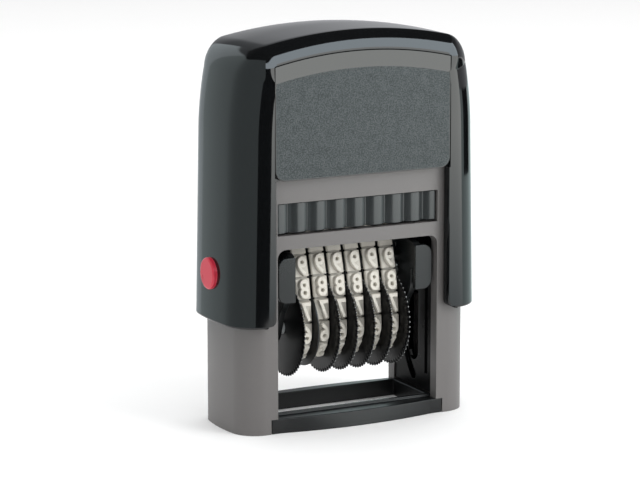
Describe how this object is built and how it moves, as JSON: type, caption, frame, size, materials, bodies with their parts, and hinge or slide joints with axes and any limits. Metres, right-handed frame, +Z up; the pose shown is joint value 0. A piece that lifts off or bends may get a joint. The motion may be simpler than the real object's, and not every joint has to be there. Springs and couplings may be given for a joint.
{
  "type": "self-inking number stamp",
  "caption": "Self-inking number stamp: gloss cap over a grey frame, die holder with turning number bands that flips to print, slide-out ink cartridge.",
  "frame": {"origin": "middle of the footprint, on the surface that the stamp stands on", "axes": "+Z up, along the stroke; +X to the right along the bands' axle; -Y is the front"},
  "size_m": [0.064, 0.0276, 0.089],
  "materials": {
    "frame_grey": "satin warm grey moulding",
    "foot_black": "black moulding, semi-gloss",
    "guide_black": "black moulding",
    "spring_steel": "bright spring wire",
    "tray_black": "dark grey moulding",
    "pad_felt": "felt soaked in black ink",
    "cap_black": "high-gloss black moulding",
    "clear_window": "clear acrylic sheet",
    "label_grey": "matt dark grey card, fine speckle",
    "yoke_black": "black moulding",
    "pin_steel": "turned steel",
    "button_red": "red moulding",
    "holder_black": "black moulding, semi-gloss",
    "axle_grey": "light grey rod",
    "clip_steel": "spring steel",
    "band_rubber": "ivory rubber",
    "wheel_black": "black moulding with a knurled rim"
  },
  "bodies": {
    "frame": {"frame_shell": "frame_grey", "base_foot": "foot_black", "left_guide_plate": "guide_black", "right_guide_plate": "guide_black", "return_spring": "spring_steel"},
    "ink_cartridge": {"ink_tray": "tray_black", "ink_pad": "pad_felt"},
    "cap": {"cap_shell": "cap_black", "front_window": "clear_window", "rear_window": "clear_window", "front_label": "label_grey", "rear_label": "label_grey", "yoke_bridge": "yoke_black", "left_yoke_arm": "yoke_black", "right_yoke_arm": "yoke_black", "left_pivot_pin": "pin_steel", "right_pivot_pin": "pin_steel"},
    "left_button": {"left_lock_button": "button_red"},
    "right_button": {"right_lock_button": "button_red"},
    "die_holder": {"left_cheek": "holder_black", "right_cheek": "holder_black", "platen_bar": "holder_black", "left_follower_pin": "pin_steel", "right_follower_pin": "pin_steel", "wheel_axle": "axle_grey", "left_axle_clip": "clip_steel", "right_axle_clip": "clip_steel", "band_separator": "holder_black", "number_band_1": "band_rubber", "number_band_2": "band_rubber", "number_band_3": "band_rubber", "number_band_4": "band_rubber", "number_band_5": "band_rubber", "number_band_6": "band_rubber"},
    "wheel_1": {"number_wheel_1": "wheel_black"},
    "wheel_2": {"number_wheel_2": "wheel_black"},
    "wheel_3": {"number_wheel_3": "wheel_black"},
    "wheel_4": {"number_wheel_4": "wheel_black"},
    "wheel_5": {"number_wheel_5": "wheel_black"},
    "wheel_6": {"number_wheel_6": "wheel_black"}
  },
  "joints": [
    {"name": "cap_slide", "type": "slide", "parent": "frame", "child": "cap", "axis": [0, 0, -1], "range_m": [0, 0.02], "stiffness_N_per_m": 300, "springref_m": -0.006, "deforming": ["return_spring"]},
    {"name": "die_flip", "type": "hinge", "parent": "cap", "child": "die_holder", "pos_m": [0, 0, 0.0323], "axis": [-1, 0, 0], "range_deg": [0, 180]},
    {"name": "cartridge_slide", "type": "slide", "parent": "frame", "child": "ink_cartridge", "axis": [0, 1, 0], "range_m": [-0.022, 0]},
    {"name": "left_button_press", "type": "slide", "parent": "cap", "child": "left_button", "axis": [1, 0, 0], "range_m": [0, 0.0009], "stiffness_N_per_m": 2000, "springref_m": -0.0003},
    {"name": "right_button_press", "type": "slide", "parent": "cap", "child": "right_button", "axis": [-1, 0, 0], "range_m": [0, 0.0009], "stiffness_N_per_m": 2000, "springref_m": -0.0003},
    {"name": "wheel_1_turn", "type": "hinge", "parent": "die_holder", "child": "wheel_1", "pos_m": [0, 0, 0.0213], "axis": [1, 0, 0], "continuous": true},
    {"name": "wheel_2_turn", "type": "hinge", "parent": "die_holder", "child": "wheel_2", "pos_m": [0, 0, 0.0213], "axis": [1, 0, 0], "continuous": true},
    {"name": "wheel_3_turn", "type": "hinge", "parent": "die_holder", "child": "wheel_3", "pos_m": [0, 0, 0.0213], "axis": [1, 0, 0], "continuous": true},
    {"name": "wheel_4_turn", "type": "hinge", "parent": "die_holder", "child": "wheel_4", "pos_m": [0, 0, 0.0213], "axis": [1, 0, 0], "continuous": true},
    {"name": "wheel_5_turn", "type": "hinge", "parent": "die_holder", "child": "wheel_5", "pos_m": [0, 0, 0.0213], "axis": [1, 0, 0], "continuous": true},
    {"name": "wheel_6_turn", "type": "hinge", "parent": "die_holder", "child": "wheel_6", "pos_m": [0, 0, 0.0213], "axis": [1, 0, 0], "continuous": true}
  ],
  "couplings": [
    {"joint": "die_flip", "follows": "cap_slide", "rad_per_m": 157.08}
  ]
}
